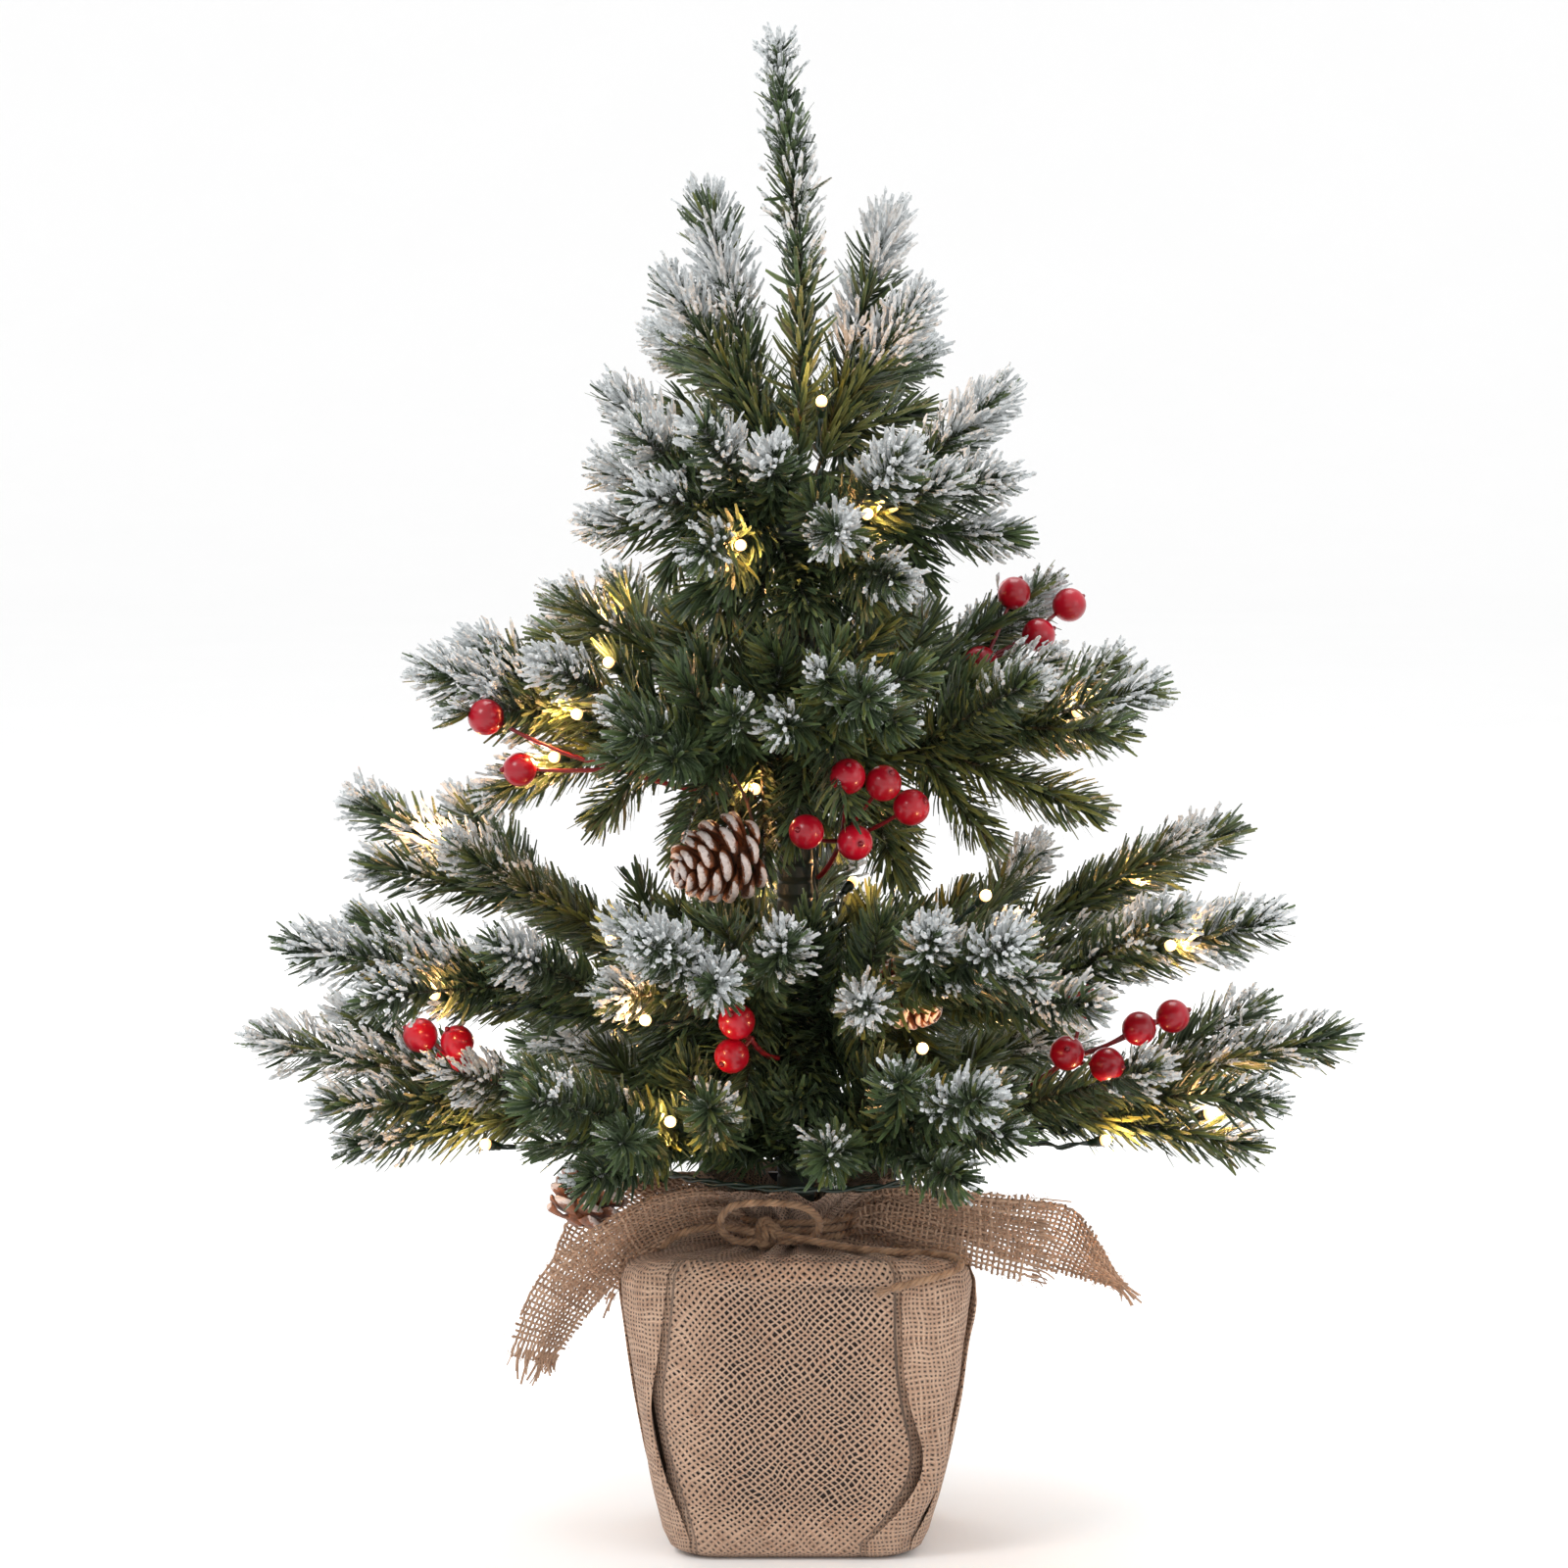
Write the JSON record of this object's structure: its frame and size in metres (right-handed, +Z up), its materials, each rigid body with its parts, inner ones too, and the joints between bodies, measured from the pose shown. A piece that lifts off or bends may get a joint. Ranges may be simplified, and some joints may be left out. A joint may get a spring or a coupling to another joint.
{
  "type": "tabletop christmas tree",
  "caption": "Small artificial tree with bendable flocked branches, berries, pine cones and battery lights, in a square weighted pot wrapped in tied burlap.",
  "frame": {"origin": "centre of the flat underside of the wrapped pot", "axes": "+Z up along the trunk, -Y towards the front where the bow is, +X to the viewer's right"},
  "size_m": [0.4283, 0.3317, 0.6001],
  "materials": {
    "burlap": "matte",
    "liner_plastic": "matte",
    "cement": "matte",
    "twine": "matte",
    "painted_wire": "satin",
    "trunk_tape": "satin",
    "needles": "matte",
    "berry": "gloss",
    "bark": "matte",
    "cable_plastic": "satin",
    "lamp": "gloss",
    "box_plastic": "satin",
    "cell_can": "satin",
    "contact_metal": "satin"
  },
  "bodies": {
    "base": {"burlap_wrap": "burlap", "pot_liner": "liner_plastic", "cement_weight": "cement", "twine_tie": "twine", "twine_bow_loop": "twine", "twine_tail_left": "twine", "twine_tail_right": "twine", "trunk_rod": "painted_wire", "trunk_tape": "trunk_tape", "leader": "needles", "light_cable": "cable_plastic", "trunk_lights": "lamp", "berry_spray_trunk": "berry", "battery_box": "box_plastic", "battery_contacts": "contact_metal", "battery_cells": "cell_can"},
    "bottom_branch_left": {"bottom_branch_left": "needles", "berry_spray_bottom_left": "berry", "pine_cone_bottom_left": "bark"},
    "bottom_branch_front_left": {"bottom_branch_front_left": "needles", "lights_bottom_branch_front_left": "lamp"},
    "bottom_branch_front": {"bottom_branch_front": "needles"},
    "bottom_branch_right": {"bottom_branch_right": "needles", "lights_bottom_branch_right": "lamp", "berry_spray_bottom_right": "berry"},
    "bottom_branch_back_right": {"bottom_branch_back_right": "needles"},
    "bottom_branch_back_left": {"bottom_branch_back_left": "needles"},
    "lower_branch_left": {"lower_branch_left": "needles", "lights_lower_branch_left": "lamp"},
    "lower_branch_back_left": {"lower_branch_back_left": "needles", "lights_lower_branch_back_left": "lamp"},
    "lower_branch_front_left": {"lower_branch_front_left": "needles", "berry_spray_lower_front_left": "berry"},
    "lower_branch_front_right": {"lower_branch_front_right": "needles", "lights_lower_branch_front_right": "lamp", "pine_cone_lower_front_right": "bark"},
    "lower_branch_right": {"lower_branch_right": "needles", "lights_lower_branch_right": "lamp"},
    "lower_branch_back_right": {"lower_branch_back_right": "needles"},
    "lower_branch_back": {"lower_branch_back": "needles", "pine_cone_lower_back": "bark"},
    "middle_branch_left": {"middle_branch_left": "needles", "lights_middle_branch_left": "lamp", "berry_spray_middle_left": "berry"},
    "middle_branch_back_left": {"middle_branch_back_left": "needles"},
    "middle_branch_front_left": {"middle_branch_front_left": "needles", "pine_cone_middle_front_left": "bark"},
    "middle_branch_front": {"middle_branch_front": "needles"},
    "middle_branch_right": {"middle_branch_right": "needles"},
    "middle_branch_back_right": {"middle_branch_back_right": "needles", "berry_spray_middle_back_right": "berry"},
    "middle_branch_back": {"middle_branch_back": "needles"},
    "crown_branch_left": {"crown_branch_left": "needles"},
    "crown_branch_front_left": {"crown_branch_front_left": "needles"},
    "crown_branch_front_right": {"crown_branch_front_right": "needles"},
    "crown_branch_right": {"crown_branch_right": "needles"},
    "crown_branch_back_right": {"crown_branch_back_right": "needles"},
    "crown_branch_back_left": {"crown_branch_back_left": "needles"},
    "battery_cover": {"battery_cover": "box_plastic"},
    "switch_slider": {"switch_slider": "box_plastic"}
  },
  "joints": [
    {"name": "bottom_branch_left_bend", "type": "hinge", "parent": "base", "child": "bottom_branch_left", "pos_m": [-0.0089, -0.00015, 0.155], "axis": [-0.0175, 0.9998, 0], "range_deg": [-5, 10]},
    {"name": "bottom_branch_front_left_bend", "type": "hinge", "parent": "base", "child": "bottom_branch_front_left", "pos_m": [-0.00523, -0.0072, 0.155], "axis": [-0.809, 0.5878, 0], "range_deg": [-8, 9]},
    {"name": "bottom_branch_front_bend", "type": "hinge", "parent": "base", "child": "bottom_branch_front", "pos_m": [0.00362, -0.00813, 0.155], "axis": [-0.9135, -0.4067, 0], "range_deg": [-8, 8]},
    {"name": "bottom_branch_right_bend", "type": "hinge", "parent": "base", "child": "bottom_branch_right", "pos_m": [0.0089, -0.00015, 0.155], "axis": [-0.0175, -0.9998, 0], "range_deg": [-8, 3]},
    {"name": "bottom_branch_back_right_bend", "type": "hinge", "parent": "base", "child": "bottom_branch_back_right", "pos_m": [0.00511, 0.00729, 0.155], "axis": [0.8192, -0.5736, 0], "range_deg": [-8, 8]},
    {"name": "bottom_branch_back_left_bend", "type": "hinge", "parent": "base", "child": "bottom_branch_back_left", "pos_m": [-0.00472, 0.00755, 0.155], "axis": [0.848, 0.5299, 0], "range_deg": [-8, 12]},
    {"name": "lower_branch_left_bend", "type": "hinge", "parent": "base", "child": "lower_branch_left", "pos_m": [-0.00846, -0.00275, 0.205], "axis": [-0.309, 0.9511, 0], "range_deg": [-8, 7]},
    {"name": "lower_branch_back_left_bend", "type": "hinge", "parent": "base", "child": "lower_branch_back_left", "pos_m": [-0.00819, 0.00348, 0.207], "axis": [0.3907, 0.9205, 0], "range_deg": [-12, 12]},
    {"name": "lower_branch_front_left_bend", "type": "hinge", "parent": "base", "child": "lower_branch_front_left", "pos_m": [-0.00304, -0.00836, 0.209], "axis": [-0.9397, 0.342, 0], "range_deg": [-12, 14]},
    {"name": "lower_branch_front_right_bend", "type": "hinge", "parent": "base", "child": "lower_branch_front_right", "pos_m": [0.00445, -0.00771, 0.207], "axis": [-0.866, -0.5, 0], "range_deg": [-9, 14]},
    {"name": "lower_branch_right_bend", "type": "hinge", "parent": "base", "child": "lower_branch_right", "pos_m": [0.00842, -0.0029, 0.203], "axis": [-0.3256, -0.9455, 0], "range_deg": [-4, 12]},
    {"name": "lower_branch_back_right_bend", "type": "hinge", "parent": "base", "child": "lower_branch_back_right", "pos_m": [0.00813, 0.00362, 0.205], "axis": [0.4067, -0.9135, 0], "range_deg": [-12, 12]},
    {"name": "lower_branch_back_bend", "type": "hinge", "parent": "base", "child": "lower_branch_back", "pos_m": [0, 0.0089, 0.205], "axis": [1, 0, 0], "range_deg": [-12, 14]},
    {"name": "middle_branch_left_bend", "type": "hinge", "parent": "base", "child": "middle_branch_left", "pos_m": [-0.00881, -0.00124, 0.317], "axis": [-0.1392, 0.9903, 0], "range_deg": [-18, 18]},
    {"name": "middle_branch_back_left_bend", "type": "hinge", "parent": "base", "child": "middle_branch_back_left", "pos_m": [-0.00661, 0.00596, 0.329], "axis": [0.6691, 0.7431, 0], "range_deg": [-18, 18]},
    {"name": "middle_branch_front_left_bend", "type": "hinge", "parent": "base", "child": "middle_branch_front_left", "pos_m": [-0.00498, -0.00738, 0.317], "axis": [-0.829, 0.5592, 0], "range_deg": [-9, 18]},
    {"name": "middle_branch_front_bend", "type": "hinge", "parent": "base", "child": "middle_branch_front", "pos_m": [0.00215, -0.00864, 0.329], "axis": [-0.9703, -0.2419, 0], "range_deg": [-9, 18]},
    {"name": "middle_branch_right_bend", "type": "hinge", "parent": "base", "child": "middle_branch_right", "pos_m": [0.00864, -0.00215, 0.309], "axis": [-0.2419, -0.9703, 0], "range_deg": [-18, 18]},
    {"name": "middle_branch_back_right_bend", "type": "hinge", "parent": "base", "child": "middle_branch_back_right", "pos_m": [0.00661, 0.00596, 0.325], "axis": [0.6691, -0.7431, 0], "range_deg": [-18, 18]},
    {"name": "middle_branch_back_bend", "type": "hinge", "parent": "base", "child": "middle_branch_back", "pos_m": [0, 0.0089, 0.317], "axis": [1, 0, 0], "range_deg": [-18, 15]},
    {"name": "crown_branch_left_bend", "type": "hinge", "parent": "base", "child": "crown_branch_left", "pos_m": [-0.00888, -0.00062, 0.397], "axis": [-0.0698, 0.9976, 0], "range_deg": [-20, 18]},
    {"name": "crown_branch_front_left_bend", "type": "hinge", "parent": "base", "child": "crown_branch_front_left", "pos_m": [-0.00418, -0.00786, 0.399], "axis": [-0.8829, 0.4695, 0], "range_deg": [-20, 18]},
    {"name": "crown_branch_front_right_bend", "type": "hinge", "parent": "base", "child": "crown_branch_front_right", "pos_m": [0.00445, -0.00771, 0.395], "axis": [-0.866, -0.5, 0], "range_deg": [-20, 15]},
    {"name": "crown_branch_right_bend", "type": "hinge", "parent": "base", "child": "crown_branch_right", "pos_m": [0.0089, -0.00031, 0.397], "axis": [-0.0349, -0.9994, 0], "range_deg": [-20, 15]},
    {"name": "crown_branch_back_right_bend", "type": "hinge", "parent": "base", "child": "crown_branch_back_right", "pos_m": [0.00572, 0.00682, 0.419], "axis": [0.766, -0.6428, 0], "range_deg": [-30, 6]},
    {"name": "crown_branch_back_left_bend", "type": "hinge", "parent": "base", "child": "crown_branch_back_left", "pos_m": [-0.00572, 0.00682, 0.419], "axis": [0.766, 0.6428, 0], "range_deg": [-30, 6]},
    {"name": "battery_cover_slide", "type": "slide", "parent": "base", "child": "battery_cover", "axis": [1, 0, 0], "range_m": [0, 0.075]},
    {"name": "switch_slide", "type": "slide", "parent": "base", "child": "switch_slider", "axis": [1, 0, 0], "range_m": [0, 0.003]}
  ]
}
